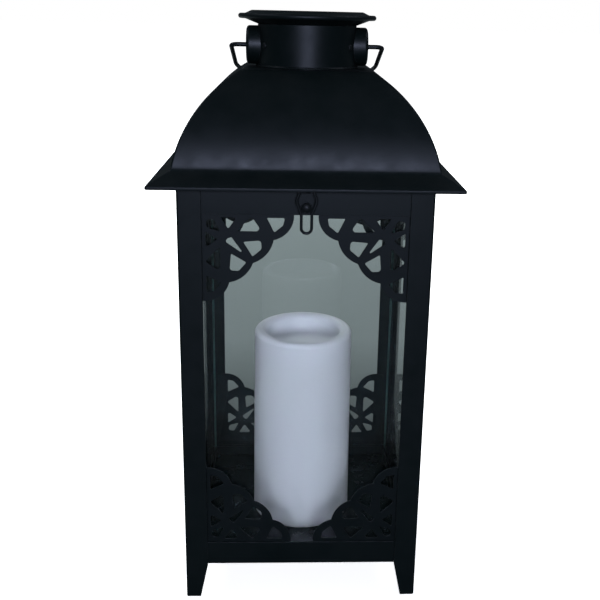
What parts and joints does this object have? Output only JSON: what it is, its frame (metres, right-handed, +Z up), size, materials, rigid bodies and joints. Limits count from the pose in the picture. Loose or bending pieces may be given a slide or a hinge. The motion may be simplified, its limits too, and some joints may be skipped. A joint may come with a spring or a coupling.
{
  "type": "solar lantern",
  "caption": "Square black metal lantern with domed roof, scrolled corner fretwork, glass panes, solar cap, wire handle and a white pillar candle inside.",
  "frame": {"origin": "on the ground under the middle of the lantern", "axes": "+Z up, -Y towards the front with the clasp, +X to the right as seen from the front"},
  "size_m": [0.2004, 0.2004, 0.414],
  "materials": {
    "frame_paint": "satin black paint on sheet steel",
    "fret_paint": "satin black paint on cut sheet",
    "roof_paint": "satin black paint on pressed steel",
    "wire_paint": "black paint on steel wire",
    "clear_glass": "clear float glass",
    "wax_white": "smooth wax-like white",
    "candle_plastic": "white moulded plastic",
    "module_plastic": "fine-grained black moulded plastic",
    "solar_cell": "dark blue cell under clear resin",
    "window_plastic": "clear acrylic",
    "lens_plastic": "clear moulded lens",
    "seal_rubber": "black foam rubber",
    "board": "green solder mask",
    "cell_wrap": "green shrink wrap",
    "plated_steel": "zinc plated",
    "amber_led": "tinted clear resin",
    "switch_red": "red moulded plastic"
  },
  "bodies": {
    "body": {"post_front_left": "frame_paint", "post_front_right": "frame_paint", "post_rear_left": "frame_paint", "post_rear_right": "frame_paint", "bottom_rail_front": "frame_paint", "bottom_rail_rear": "frame_paint", "bottom_rail_left": "frame_paint", "bottom_rail_right": "frame_paint", "top_rail_front": "frame_paint", "top_rail_rear": "frame_paint", "top_rail_left": "frame_paint", "top_rail_right": "frame_paint", "fretwork_front": "fret_paint", "fretwork_rear": "fret_paint", "fretwork_left": "fret_paint", "fretwork_right": "fret_paint", "glass_front": "clear_glass", "glass_rear": "clear_glass", "glass_left": "clear_glass", "glass_right": "clear_glass", "glass_channel_bottom": "frame_paint", "glass_channel_top": "frame_paint", "floor_tray": "frame_paint", "candle_seat": "frame_paint", "seat_rivets": "plated_steel", "latch_stud": "frame_paint", "hinge_leaf_body": "frame_paint", "hinge_pins": "plated_steel", "hinge_rivets": "wire_paint"},
    "roof": {"roof_shell": "roof_paint", "roof_soffit": "roof_paint", "hinge_leaf_roof": "frame_paint", "collar": "roof_paint", "boss_left": "roof_paint", "boss_right": "roof_paint", "boss_rivets": "wire_paint", "cap": "roof_paint", "solar_window": "window_plastic", "solar_panel": "solar_cell", "panel_gasket": "seal_rubber", "module_housing": "module_plastic", "module_cover": "module_plastic", "circuit_board": "board", "battery_cell": "cell_wrap", "battery_contacts": "plated_steel", "led": "amber_led", "led_lens": "lens_plastic", "module_screws": "plated_steel", "switch_body": "module_plastic", "hasp_hanger": "frame_paint", "hanger_rivets": "wire_paint"},
    "candle": {"candle_shell": "wax_white", "candle_base": "candle_plastic"},
    "handle": {"bail_handle": "wire_paint"},
    "clasp": {"clasp_wire": "wire_paint"},
    "power_switch": {"switch_slider": "switch_red"},
    "battery_hatch": {"battery_door": "module_plastic"}
  },
  "joints": [
    {"name": "roof_hinge", "type": "hinge", "parent": "body", "child": "roof", "pos_m": [0, 0.0869, 0.3037], "axis": [-1, 0, 0], "range_deg": [0, 100]},
    {"name": "handle_swing", "type": "hinge", "parent": "roof", "child": "handle", "pos_m": [0, 0, 0.3905], "axis": [1, 0, 0], "range_deg": [0, 217]},
    {"name": "clasp_swing", "type": "hinge", "parent": "roof", "child": "clasp", "pos_m": [0, -0.09, 0.3052], "axis": [-1, 0, 0], "range_deg": [-8, 80]},
    {"name": "candle_lift", "type": "slide", "parent": "body", "child": "candle", "axis": [0, 0, 1], "range_m": [0, 0.105]},
    {"name": "switch_slide", "type": "slide", "parent": "roof", "child": "power_switch", "axis": [1, 0, 0], "range_m": [0, 0.0052]},
    {"name": "hatch_hinge", "type": "hinge", "parent": "roof", "child": "battery_hatch", "pos_m": [0, -0.0225, 0.365], "axis": [-1, 0, 0], "range_deg": [0, 100]}
  ]
}
